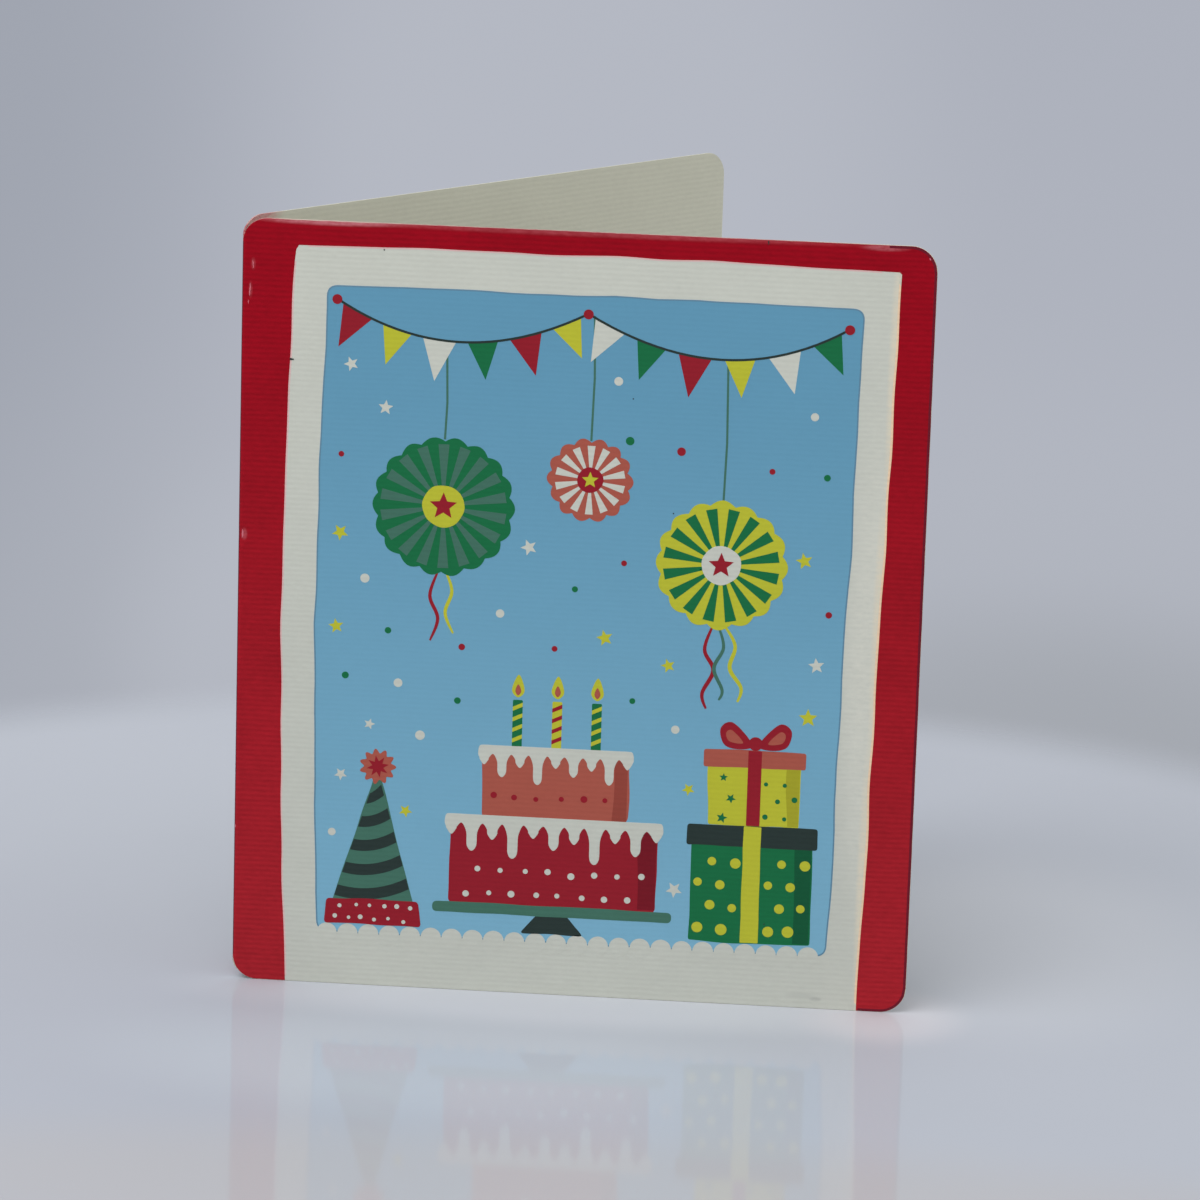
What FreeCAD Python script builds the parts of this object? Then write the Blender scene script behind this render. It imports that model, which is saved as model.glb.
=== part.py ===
# Greeting card: one sheet of scored board, folded once and standing part open on its bottom edges.
# The sheet is drawn from the fold's own axis: the front panel runs along +X, the back panel opens away
# behind it. One half is drawn, cut to its rounded outline and mirrored about the plane that halves the
# opening angle. Millimetres and degrees.

import FreeCAD, Part
import Sketcher
import os
from math import asin, atan2, cos, pi, radians, sin

# Driving dimensions
SIZES = {
    "panel_width": (131, "fold's outermost line to the free edge"),
    "panel_height": (150, "along the fold"),
    "board_thickness": (0.4, "one layer of board"),
    "corner_radius": (5, "die-cut corners, at the free edges and at the ends of the fold"),
    "opening_angle": (49.5, "between the two panels, up to 120 with this bead"),
    "fold_inner_radius": (0.5, "inside of the bend"),
    "bead_radius": (0.25, "raised bead that the score leaves inside the fold"),
}
VALUE = {name: value for name, (value, note) in SIZES.items()}

# Sketcher's words for the places on a curve, and for the sketch's own origin
START, END, CENTRE = 1, 2, 3
ORIGIN = (-1, START)

# Cubic millimetres that the kernel may be out by
VOLUME_TOLERANCE = 0.01


def new_sheet(doc):
    sheet = doc.addObject("Spreadsheet::Sheet", "Sizes")
    for row, (name, (value, note)) in enumerate(SIZES.items(), 1):
        sheet.set(f"A{row}", name)
        sheet.set(f"B{row}", str(value))
        sheet.set(f"C{row}", note)
        sheet.setAlias(f"B{row}", name)
    doc.recompute()


def new_sketch(body, name, role):
    sketch = body.newObject("Sketcher::SketchObject", name)
    plane = next(item for item in body.Origin.OriginFeatures if item.Role == role)
    sketch.AttachmentSupport = [(plane, "")]
    sketch.MapMode = "FlatFace"
    return sketch


def spot(x, y):
    return FreeCAD.Vector(x, y, 0)


def arc(centre, radius, first, last):
    circle = Part.Circle(centre, FreeCAD.Vector(0, 0, 1), radius)
    return Part.ArcOfCircle(circle, first, last)


def constrain(sketch, kind, *where):
    return sketch.addConstraint(Sketcher.Constraint(kind, *where))


def dimension(sketch, name, formula, kind, *where):
    number = constrain(sketch, kind, *where)
    sketch.renameConstraint(number, name)
    sketch.setExpression(f"Constraints.{name}", formula)


# Section through one half of the folded sheet, seen from above
def draw_section(body):
    sketch = new_sketch(body, "SheetSection", "XY_Plane")
    inner = VALUE["fold_inner_radius"]
    outer = inner + VALUE["board_thickness"]
    bead = VALUE["bead_radius"]
    reach = VALUE["panel_width"] - outer
    half_opening = radians(VALUE["opening_angle"]) / 2
    crest = pi + half_opening
    panel_side = 3 * pi / 2
    foot = crest + 2 * asin(bead / inner / 2)
    if foot >= panel_side:
        raise RuntimeError("the bead is wider than the bend: less bead_radius or less opening_angle")
    outer_crest = spot(outer * cos(crest), outer * sin(crest))
    bead_centre = spot(inner * cos(crest), inner * sin(crest))
    bead_foot = spot(inner * cos(foot), inner * sin(foot))
    bead_top = spot((inner - bead) * cos(crest), (inner - bead) * sin(crest))
    bead_start = atan2(bead_foot.y - bead_centre.y, bead_foot.x - bead_centre.x)

    halving = sketch.addGeometry(Part.LineSegment(outer_crest, spot(0, 0)), True)
    outer_bend = sketch.addGeometry(arc(spot(0, 0), outer, crest, panel_side))
    outer_face = sketch.addGeometry(Part.LineSegment(spot(0, -outer), spot(reach, -outer)))
    free_edge = sketch.addGeometry(Part.LineSegment(spot(reach, -outer), spot(reach, -inner)))
    inner_face = sketch.addGeometry(Part.LineSegment(spot(reach, -inner), spot(0, -inner)))
    inner_bend = sketch.addGeometry(arc(spot(0, 0), inner, foot, panel_side))
    bead_side = sketch.addGeometry(arc(bead_centre, bead, bead_start, half_opening))
    middle = sketch.addGeometry(Part.LineSegment(bead_top, outer_crest))

    constrain(sketch, "Coincident", halving, END, *ORIGIN)
    constrain(sketch, "Coincident", halving, START, outer_bend, START)
    constrain(sketch, "Coincident", outer_bend, CENTRE, *ORIGIN)
    constrain(sketch, "Coincident", inner_bend, CENTRE, *ORIGIN)
    constrain(sketch, "Tangent", outer_bend, END, outer_face, START)
    constrain(sketch, "Tangent", inner_bend, END, inner_face, END)
    constrain(sketch, "Coincident", outer_face, END, free_edge, START)
    constrain(sketch, "Coincident", free_edge, END, inner_face, START)
    constrain(sketch, "Coincident", inner_bend, START, bead_side, START)
    constrain(sketch, "Coincident", bead_side, END, middle, START)
    constrain(sketch, "Coincident", middle, END, outer_bend, START)
    constrain(sketch, "PointOnObject", bead_side, END, halving)
    constrain(sketch, "PointOnObject", bead_side, CENTRE, halving)
    constrain(sketch, "PointOnObject", bead_side, CENTRE, inner_bend)
    constrain(sketch, "Horizontal", outer_face)
    constrain(sketch, "Horizontal", inner_face)
    constrain(sketch, "Vertical", free_edge)
    dimension(sketch, "halfOpening", "Sizes.opening_angle / 2", "Angle", halving, half_opening)
    dimension(sketch, "innerRadius", "Sizes.fold_inner_radius", "Radius", inner_bend, inner)
    dimension(sketch, "outerRadius", "Sizes.fold_inner_radius + Sizes.board_thickness",
              "Radius", outer_bend, outer)
    dimension(sketch, "beadRadius", "Sizes.bead_radius", "Radius", bead_side, bead)
    dimension(sketch, "reach", "Sizes.panel_width - Sizes.fold_inner_radius - Sizes.board_thickness",
              "DistanceX", *ORIGIN, outer_face, END, reach)
    return sketch


# Waste at the four corners of a panel, seen from the front: each is a square with a quarter round left in
def draw_corner_waste(body):
    sketch = new_sketch(body, "CornerWaste", "XZ_Plane")
    radius = VALUE["corner_radius"]
    outer = VALUE["fold_inner_radius"] + VALUE["board_thickness"]
    corners = {
        "foldFoot": (radius - outer, radius, -1, -1),
        "foldTop": (radius - outer, VALUE["panel_height"] - radius, -1, 1),
        "freeFoot": (VALUE["panel_width"] - outer - radius, radius, 1, -1),
        "freeTop": (VALUE["panel_width"] - outer - radius, VALUE["panel_height"] - radius, 1, 1),
    }
    fold_side = "Sizes.corner_radius - Sizes.fold_inner_radius - Sizes.board_thickness"
    free_side = ("Sizes.panel_width - Sizes.fold_inner_radius - Sizes.board_thickness"
                 " - Sizes.corner_radius")
    across = {-1: fold_side, 1: free_side}
    along = {-1: "Sizes.corner_radius", 1: "Sizes.panel_height - Sizes.corner_radius"}
    for name, (x, y, right, up) in corners.items():
        middle = atan2(up, right)
        first = middle - pi / 4
        last = middle + pi / 4
        round_side = sketch.addGeometry(arc(spot(x, y), radius, first, last))
        side_point = spot(x + right * radius, y)
        end_point = spot(x, y + up * radius)
        side_out = spot(x + right * 2 * radius, y)
        far_corner = spot(x + right * 2 * radius, y + up * 2 * radius)
        end_out = spot(x, y + up * 2 * radius)
        level = sketch.addGeometry(Part.LineSegment(side_point, side_out))
        far_side = sketch.addGeometry(Part.LineSegment(side_out, far_corner))
        far_end = sketch.addGeometry(Part.LineSegment(far_corner, end_out))
        upright = sketch.addGeometry(Part.LineSegment(end_out, end_point))
        side_is_first = right * up > 0
        side_end, upright_end = (START, END) if side_is_first else (END, START)

        constrain(sketch, "Coincident", round_side, side_end, level, START)
        constrain(sketch, "Coincident", level, END, far_side, START)
        constrain(sketch, "Coincident", far_side, END, far_end, START)
        constrain(sketch, "Coincident", far_end, END, upright, START)
        constrain(sketch, "Coincident", upright, END, round_side, upright_end)
        constrain(sketch, "PointOnObject", round_side, CENTRE, level)
        constrain(sketch, "PointOnObject", round_side, CENTRE, upright)
        constrain(sketch, "Horizontal", level)
        constrain(sketch, "Vertical", far_side)
        constrain(sketch, "Horizontal", far_end)
        constrain(sketch, "Vertical", upright)
        dimension(sketch, f"{name}Radius", "Sizes.corner_radius", "Radius", round_side, radius)
        dimension(sketch, f"{name}Side", "Sizes.corner_radius", "Distance", level, radius)
        dimension(sketch, f"{name}End", "Sizes.corner_radius", "Distance", upright, radius)
        dimension(sketch, f"{name}Across", across[right], "DistanceX", *ORIGIN, round_side, CENTRE, x)
        dimension(sketch, f"{name}Along", along[up], "DistanceY", *ORIGIN, round_side, CENTRE, y)
    return sketch


def build_card(doc):
    body = doc.addObject("PartDesign::Body", "FoldedCard")
    body.Label = "folded_card"

    section = draw_section(body)
    half_sheet = body.newObject("PartDesign::Pad", "HalfSheet")
    half_sheet.Profile = section
    half_sheet.setExpression("Length", "Sizes.panel_height")
    doc.recompute()

    corner_waste = draw_corner_waste(body)
    rounded = body.newObject("PartDesign::Pocket", "RoundedCorners")
    rounded.Profile = corner_waste
    rounded.Type = "ThroughAll"
    rounded.Reversed = True
    doc.recompute()
    if rounded.Shape.Volume > half_sheet.Shape.Volume - VOLUME_TOLERANCE:
        raise RuntimeError("the corner pocket cut nothing")

    folded = body.newObject("PartDesign::Mirrored", "BothPanels")
    folded.TransformMode = "Whole shape"
    folded.MirrorPlane = (section, ["Axis0"])
    body.Tip = folded
    doc.recompute()
    if abs(folded.Shape.Volume - 2 * rounded.Shape.Volume) > VOLUME_TOLERANCE:
        raise RuntimeError("the two panels are not whole")

    # The card's bounding box stands centred on the frame's origin, with its lowest edges at zero. Past
    # 90 degrees the back panel reaches further left than the fold does.
    inner = "Sizes.fold_inner_radius"
    outer = f"({inner} + Sizes.board_thickness)"
    reach = f"(Sizes.panel_width - {outer})"
    turn = "(Sizes.opening_angle * 1deg)"
    leftmost = f"min(-{outer}; {reach} * cos{turn} - {outer} * sin{turn})"
    rearmost = f"({reach} * sin{turn} + max({outer} * cos{turn}; {inner} * cos{turn}))"
    body.setExpression("Placement.Base.x", f"-({reach} + {leftmost}) / 2")
    body.setExpression("Placement.Base.y", f"({outer} - {rearmost}) / 2")
    return body


def check(doc):
    for item in doc.Objects:
        if "Invalid" in item.State or "Error" in item.State:
            raise RuntimeError(f"{item.Name} failed to build")
    for body in doc.findObjects("PartDesign::Body"):
        if body.Shape.isNull() or not body.Shape.isValid():
            raise RuntimeError(f"{body.Label} has no valid shape")


doc = FreeCAD.newDocument("GreetingCard")
new_sheet(doc)
card = build_card(doc)
doc.recompute()
check(doc)

os.makedirs("parts", exist_ok=True)
card.Shape.exportStep("parts/folded_card.step")
print(card.Label, "solids", len(card.Shape.Solids), "faces", len(card.Shape.Faces))
print("bounds", card.Shape.BoundBox)
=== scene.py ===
# Greeting card: one folded sheet of laid board with a printed front, standing part open on a pale table.
import bpy
import bmesh
from math import cos, hypot, pi, radians, sin, sqrt
from mathutils import Matrix, Vector, noise


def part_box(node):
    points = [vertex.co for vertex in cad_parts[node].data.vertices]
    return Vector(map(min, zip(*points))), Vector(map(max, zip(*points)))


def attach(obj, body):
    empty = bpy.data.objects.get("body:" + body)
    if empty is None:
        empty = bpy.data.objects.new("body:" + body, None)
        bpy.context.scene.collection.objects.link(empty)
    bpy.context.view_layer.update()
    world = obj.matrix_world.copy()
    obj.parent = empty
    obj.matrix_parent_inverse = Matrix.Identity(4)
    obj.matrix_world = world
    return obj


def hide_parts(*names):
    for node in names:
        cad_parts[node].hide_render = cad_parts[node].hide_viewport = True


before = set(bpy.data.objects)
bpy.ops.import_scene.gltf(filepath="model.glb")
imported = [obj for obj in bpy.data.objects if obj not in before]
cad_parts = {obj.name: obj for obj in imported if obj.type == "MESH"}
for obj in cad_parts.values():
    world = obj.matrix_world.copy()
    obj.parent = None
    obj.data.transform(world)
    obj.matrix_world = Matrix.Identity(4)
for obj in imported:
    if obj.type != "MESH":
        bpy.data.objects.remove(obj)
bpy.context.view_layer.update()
scene = bpy.context.scene
cardLow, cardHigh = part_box("folded_card")
mm = 0.001
print("frame loaded")

# The sheet, in millimetres and degrees, as the folded card in the frame has it
sheet = {
    "width": (cardHigh.x - cardLow.x) / mm,     # one panel, from the fold's outermost line
    "height": (cardHigh.z - cardLow.z) / mm,
    "thickness": 0.4,
    "bendRadius": 0.9,       # outside of the bend
    "openingAngle": 49.5,
    "cornerRadius": 5.0,
    "beadHeight": 0.25,      # the score's raised bead, inside the fold
    "printRoom": 0.12,       # bare board starts this far under the outer face, and the inks fill the rest
    "inkStep": 0.015,        # from one printing to the next
}
opening = radians(sheet["openingAngle"])
bendRadius = sheet["bendRadius"]
bendReach = bendRadius * (pi - opening) / 2     # along the sheet, from the fold's crest to a flat panel
sheetReach = bendReach + sheet["width"] - bendRadius
crestAngle = pi + opening / 2
foldX = cardLow.x / mm + bendRadius
foldY = cardLow.y / mm + bendRadius

# A knock on the fold, where the printed crest is pushed in a little
knock = {"along": 0.8, "height": 88.6, "reachAlong": 1.4, "reachUp": 2.4, "depth": 0.13}
knockColumns = [knock["along"] + knock["reachAlong"] * step / 6 for step in range(7)]
knockRows = [knock["height"] + knock["reachUp"] * step / 6 for step in range(-6, 7)]


# A place on the folded sheet: s runs along the sheet from the fold's crest, onto the front panel where it
# is positive and onto the back panel where it is negative, z runs up, and depth goes into the board
def onSheet(s, z, depth):
    away = hypot((s - knock["along"]) / knock["reachAlong"], (z - knock["height"]) / knock["reachUp"])
    if away < 1 and depth < sheet["thickness"] - 0.05:
        depth = depth + knock["depth"] * (1 - away * away) ** 2
    radius = bendRadius - depth
    if abs(s) <= bendReach:
        angle = crestAngle + s / bendRadius
        return Vector((foldX + radius * cos(angle), foldY + radius * sin(angle), z)) * mm
    if s > 0:
        return Vector((foldX + s - bendReach, foldY - radius, z)) * mm
    run = -s - bendReach
    x = foldX + run * cos(opening) - radius * sin(opening)
    y = foldY + run * sin(opening) + radius * cos(opening)
    return Vector((x, y, z)) * mm


# How far a line of the sheet lies from the fold's outermost line, seen square on to its own panel
def acrossPanel(s):
    if abs(s) >= bendReach:
        return abs(s) - bendReach + bendRadius
    return bendRadius + bendRadius * cos(crestAngle + abs(s) / bendRadius)


# Height of the sheet's top edge, with its die-cut corners at the free edges and at the fold
def topEdge(s, inset=0.0):
    rounding = sheet["cornerRadius"]
    into = max(rounding - acrossPanel(s), abs(s) - sheetReach + rounding, 0.0)
    room = max((rounding - inset) ** 2 - into ** 2, 0.0)
    return sheet["height"] - rounding + sqrt(room)


def bottomEdge(s, inset=0.0):
    return sheet["height"] - topEdge(s, inset)


# Lines of the sheet at which a bent mesh gets its columns, close together in the bend and in the corners
def sheetColumns(first, last, step):
    marks = [first, last]
    rounding = sheet["cornerRadius"]
    for turn in range(13):
        bend = bendReach * turn / 12
        corner = rounding * (1 - cos(radians(7.5) * turn))
        foldCorner = bendReach + (rounding - bendRadius) * (turn / 12) ** 2
        marks += [bend, -bend, foldCorner, -foldCorner, sheetReach - corner, corner - sheetReach]
    count = int((last - first) / step)
    marks += knockColumns + [first + (last - first) * part / count for part in range(1, count)]
    kept = []
    for mark in sorted(mark for mark in marks if first <= mark <= last):
        if not kept or mark - kept[-1] > 0.02:
            kept.append(mark)
    return kept


def linear(red, green, blue):
    return tuple(((part / 255 + 0.055) / 1.055) ** 2.4 for part in (red, green, blue)) + (1.0,)


# Gives each named input of a node a value, another node's output, or another node for its first output
def setInputs(tree, node, inputs):
    for key, value in inputs.items():
        if isinstance(value, bpy.types.Node):
            value = value.outputs[0]
        if isinstance(value, bpy.types.NodeSocket):
            tree.links.new(value, node.inputs[key])
        else:
            node.inputs[key].default_value = value


def addNode(tree, kind, inputs=None, **settings):
    node = tree.nodes.new(kind)
    for key, value in settings.items():
        setattr(node, key, value)
    setInputs(tree, node, inputs or {})
    return node


def maths(tree, operation, *values):
    return addNode(tree, "ShaderNodeMath", dict(enumerate(values)), operation=operation)


def mixInto(tree, colour, other, factor):
    inputs = {"Factor": factor, "A": colour, "B": other}
    return addNode(tree, "ShaderNodeMix", inputs, data_type="RGBA").outputs["Result"]


# Sum of parts of several fields about their middle, as a factor near 1 that shades a colour
def shadeFactor(tree, fields):
    total = 1.0 - sum(amount for field, amount in fields)
    for field, amount in fields:
        total = maths(tree, "MULTIPLY_ADD", field, 2 * amount, total)
    return total


# The laid texture that board and ink share
laid = {
    "linePitch": 1.0,        # mm from one laid line to the next
    "lineWander": 1.6,
    "lineShade": 0.024,      # how much the lines lighten and darken the colour
    "lineRelief": 0.013,     # mm
    "cloudSize": 14.0,       # mm, slow changes of tone
    "cloudShade": 0.055,
    "fibreSize": 0.5,        # mm
    "fibreStretch": 2.6,     # fibres lie along the lines
    "fibreShade": 0.07,
    "fibreRelief": 0.006,    # mm
}


def laidFields(tree):
    place = addNode(tree, "ShaderNodeTexCoord").outputs["Object"]
    lines = addNode(tree, "ShaderNodeTexWave", {
        "Vector": place, "Scale": 2 * pi / (20 * laid["linePitch"] * mm), "Distortion": laid["lineWander"],
        "Detail": 2.0, "Detail Scale": 0.18}, bands_direction="Z")
    clouds = addNode(tree, "ShaderNodeTexNoise", {
        "Vector": place, "Scale": 1 / (laid["cloudSize"] * mm), "Detail": 4.0, "Roughness": 0.55})
    shrink = 1 / laid["fibreStretch"]
    stretched = addNode(tree, "ShaderNodeMapping", {"Vector": place, "Scale": (shrink, shrink, 1.0)})
    fibres = addNode(tree, "ShaderNodeTexNoise", {
        "Vector": stretched, "Scale": 1 / (laid["fibreSize"] * mm), "Detail": 3.0,
        "Roughness": 0.6})
    return place, lines.outputs["Fac"], clouds, fibres


def softStep(tree, value, start, end):
    inputs = {"Value": value, "From Min": start, "From Max": end}
    return addNode(tree, "ShaderNodeMapRange", inputs, interpolation_type="SMOOTHSTEP")


# A mask that is 1 within a soft oval, given by its middle and its reach along the three axes
def ovalMask(tree, place, middle, reach):
    moved = addNode(tree, "ShaderNodeMapping", {"Vector": place, "Location": middle, "Scale": reach},
                    vector_type="TEXTURE")
    away = addNode(tree, "ShaderNodeVectorMath", {0: moved}, operation="LENGTH")
    return softStep(tree, away.outputs["Value"], 1.0, 0.35)


# Painted light: a colour that turns into another one towards the card's foot, for the table's reflection and
# the shade there
def paintedFootLight(tree, place, colour, footLitColour):
    height = addNode(tree, "ShaderNodeSeparateXYZ", {0: place}).outputs["Z"]
    return mixInto(tree, footLitColour, colour, softStep(tree, height, -0.02, cardHigh.z))


# Soft patches over a colour, each (colour, middle, reach, strength), broken up by a field if one is given
def softPatches(tree, place, colour, patches, grain=None):
    for patchColour, middle, reach, strength in patches:
        mask = ovalMask(tree, place, middle, reach)
        if grain:
            mask = maths(tree, "MULTIPLY", mask, grain)
        colour = mixInto(tree, colour, patchColour, maths(tree, "MULTIPLY", mask, strength))
    return colour


# One finish for everything on the sheet: a colour shaded by laid lines, clouds and fibres, with marks on top.
# A mark is a soft patch, in millimetres from the front's lower left corner.
def paperFinish(name, colour, shade, roughness, sheen, footLitColour=None, marks=()):
    material = bpy.data.materials.new(name)
    material.use_nodes = True
    tree = material.node_tree
    place, lines, clouds, fibres = laidFields(tree)
    factor = shadeFactor(tree, [(lines, laid["lineShade"] * shade), (clouds, laid["cloudShade"] * shade),
                                (fibres, laid["fibreShade"] * shade)])
    # painted light towards the foot: a painted reflection of the table on the red and blue, painted shade on
    # the cream
    if footLitColour:
        colour = paintedFootLight(tree, place, colour, footLitColour)
    shaded = addNode(tree, "ShaderNodeHueSaturation", {"Color": colour, "Value": factor})
    patches = [(tone, cardLow + Vector(middle) * mm, Vector(reach) * mm, strength)
               for tone, middle, reach, strength in marks]
    shown = softPatches(tree, place, shaded, patches, fibres)
    gloss = addNode(tree, "ShaderNodeMapRange", {
        "Value": clouds, "To Min": roughness - 0.07, "To Max": roughness + 0.09})
    relief = min(shade / 1.5, 1.0)      # a full coat of ink levels the lines
    ridges = addNode(tree, "ShaderNodeBump", {
        "Strength": relief, "Distance": laid["lineRelief"] * mm, "Height": lines})
    grain = addNode(tree, "ShaderNodeBump", {
        "Strength": 1.0, "Distance": laid["fibreRelief"] * mm, "Height": fibres,
        "Normal": ridges})
    setInputs(tree, tree.nodes["Principled BSDF"], {
        "Base Color": shown, "Roughness": gloss, "Specular IOR Level": sheen,
        "Normal": grain})
    return material


def addObject(name, data):
    item = bpy.data.objects.new(name, data)
    scene.collection.objects.link(item)
    return item


def addPiece(name, mesh, material):
    mesh.name = name
    mesh.materials.clear()
    mesh.materials.append(material)
    piece = addObject(name, mesh)
    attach(piece, "root")
    return piece


# Bare board
board = {
    "stock": linear(207, 206, 189),
    "edgeRounding": 0.09,    # mm, softened by handling
    "marks": [                                       # red taken on by the cut edges
        (linear(180, 98, 106), (65.5, 0, 150.2), (78.0, 0.9, 0.9), 1.6),
        (linear(166, 62, 74), (1.0, 0, 148.6), (4.4, 0.9, 3.0), 1.8),
        (linear(188, 96, 108), (3.0, 2.5, 150.4), (9.0, 8.0, 3.4), 1.3),
        (linear(166, 62, 74), (-1.0, 0.5, 148.4), (3.0, 3.2, 4.6), 2.0),
    ],
    "rows": 22,
    "columnStep": 9.0,       # mm
}


# Depth of the board's inner face, with the bead where the score raises it
def innerDepth(s):
    beadReach = radians(30) * bendRadius
    if abs(s) >= beadReach:
        return sheet["thickness"]
    return sheet["thickness"] + sheet["beadHeight"] * cos(pi / 2 * s / beadReach) ** 1.2


# Four-sided faces between two rows of points
def addStrip(body, first, second):
    for number in range(len(first) - 1):
        body.faces.new((first[number], second[number], second[number + 1], first[number + 1]))


def buildBoard():
    rows = [row / board["rows"] for row in range(board["rows"] + 1)]
    rows = sorted(rows + [z / sheet["height"] for z in knockRows])
    mesh = bpy.data.meshes.new("bareBoard")
    body = bmesh.new()
    outer, inner = [], []
    for side, depthAt in ((outer, lambda s: sheet["printRoom"]), (inner, innerDepth)):
        for s in sheetColumns(-sheetReach, sheetReach, board["columnStep"]):
            low, high = bottomEdge(s), topEdge(s)
            column = [onSheet(s, low + (high - low) * row, depthAt(s)) for row in rows]
            side.append([body.verts.new(spot) for spot in column])
        for column, nextColumn in zip(side, side[1:]):
            addStrip(body, column, nextColumn)
    for end in (0, -1):
        addStrip(body, outer[end], inner[end])
        addStrip(body, [column[end] for column in outer], [column[end] for column in inner])
    bmesh.ops.recalc_face_normals(body, faces=body.faces)
    for face in body.faces:
        face.smooth = True
    body.to_mesh(mesh)
    body.free()
    stock = paperFinish("laidStock", board["stock"], 0.85, 0.66, 0.16, marks=board["marks"])
    piece = addPiece("cardBoard", mesh, stock)
    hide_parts("folded_card")
    rounding = piece.modifiers.new("handledEdges", "BEVEL")
    rounding.width = board["edgeRounding"] * mm
    rounding.segments = 2
    rounding.limit_method = "ANGLE"
    rounding.angle_limit = radians(55)
    rounding.harden_normals = True
    return piece


buildBoard()
print("board folded")


# Closed outlines in millimetres on the flat sheet

# A closed line round a middle, whose reach follows from the angle
def roundLoop(x, z, reachAt, count):
    turns = [2 * pi * step / count for step in range(count)]
    return [(x + reachAt(turn) * cos(turn), z + reachAt(turn) * sin(turn)) for turn in turns]


def discLoop(x, z, radius, count=36):
    return roundLoop(x, z, lambda turn: radius, count)


def curveLine(start, middle, end, count=24):
    line = []
    for step in range(count + 1):
        part = step / count
        line.append(tuple(a * (1 - part) ** 2 + b * 2 * part * (1 - part) + c * part ** 2
                          for a, b, c in zip(start, middle, end)))
    return line


# A closed outline whose corners are rounded; each point may carry its own radius
def roundedLoop(points, radius):
    loop = []
    for number, point in enumerate(points):
        corner = Vector(point[:2])
        bend = point[2] if len(point) > 2 else radius
        before = Vector(points[number - 1][:2]) - corner
        after = Vector(points[(number + 1) % len(points)][:2]) - corner
        bend = min(bend, before.length * 0.48, after.length * 0.48)
        if bend <= 0:
            loop.append(tuple(corner))
            continue
        start = corner + before.normalized() * bend
        end = corner + after.normalized() * bend
        loop += curveLine(start, corner, end, 6)
    return loop


def boxLoop(left, bottom, right, top, radius=0.8):
    return roundedLoop([(left, bottom), (right, bottom), (right, top), (left, top)], radius)


def starLoop(x, z, outer, inner, points=5, turn=0.0):
    loop = []
    for number in range(2 * points):
        radius = inner if number % 2 else outer
        angle = turn + pi / 2 + pi * number / points
        loop.append((x + radius * cos(angle), z + radius * sin(angle)))
    return loop


# A smooth line through some points, open or closed
def smoothLine(points, closed=False, steps=8):
    line = []
    count = len(points)
    for number in range(count if closed else count - 1):
        a, b, c, d = (Vector(points[(number + shift) % count if closed else
                                    min(max(number + shift, 0), count - 1)]) for shift in (-1, 0, 1, 2))
        for step in range(steps):
            t = step / steps
            spot = 0.5 * (2 * b + (c - a) * t + (2 * a - 5 * b + 4 * c - d) * t * t
                          + (3 * b - a - 3 * c + d) * t ** 3)
            line.append(tuple(spot))
    if not closed:
        line.append(tuple(points[-1]))
    return line


# The outline of a line drawn with a pen of some width, thinner towards its ends if asked
def strokeLoop(points, width, taper=0.0):
    left, right = [], []
    last = len(points) - 1
    for number, point in enumerate(points):
        spot = Vector(point)
        along = Vector(points[min(number + 1, last)]) - Vector(points[max(number - 1, 0)])
        across = Vector((-along.y, along.x)).normalized()
        half = width / 2 * (1 - taper * abs(2 * number / last - 1) ** 2)
        left.append(tuple(spot + across * half))
        right.append(tuple(spot - across * half))
    return left + right[::-1]


# A copy of an outline that runs anticlockwise, moved inwards
def inwardLoop(loop, amount):
    moved = []
    for number, point in enumerate(loop):
        along = Vector(loop[(number + 1) % len(loop)]) - Vector(loop[number - 1])
        inward = Vector((-along.y, along.x)).normalized()
        moved.append(tuple(Vector(point) + inward * amount))
    return moved


# Long sides are split, and every point moves a little, as a blade guided by hand leaves them
def handCut(loop, amount=0.22, grain=9.0, seed=0.0, step=1.5):
    cut = []
    for number, point in enumerate(loop):
        start = Vector(point)
        end = Vector(loop[(number + 1) % len(loop)])
        pieces = max(int((end - start).length / step), 1)
        for part in range(pieces):
            spot = start.lerp(end, part / pieces)
            across = noise.noise(Vector((spot.x / grain, spot.y / grain, seed)))
            up = noise.noise(Vector((spot.x / grain, spot.y / grain, seed + 40)))
            cut.append((spot.x + amount * across * 2, spot.y + amount * up * 2))
    return cut


# The evaluated shape of an object that is only there for it
def plainMesh(holder):
    seen = holder.evaluated_get(bpy.context.evaluated_depsgraph_get())
    mesh = bpy.data.meshes.new_from_object(seen)
    holder.modifiers.clear()
    bpy.data.objects.remove(holder)
    return mesh


# Flat filled faces from outlines; an outline inside another one is a hole
def filledMesh(name, loops):
    curve = bpy.data.curves.new(name, "CURVE")
    curve.dimensions = "2D"
    curve.fill_mode = "BOTH"
    for loop in loops:
        line = curve.splines.new("POLY")
        line.points.add(len(loop) - 1)
        for point, (s, z) in zip(line.points, loop):
            point.co = (s, z, 0, 1)
        line.use_cyclic_u = True
    mesh = plainMesh(addObject(name, curve))
    bpy.data.curves.remove(curve)
    return mesh


flatPicture = bmesh.new()     # every flat shape above the border and the field


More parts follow.
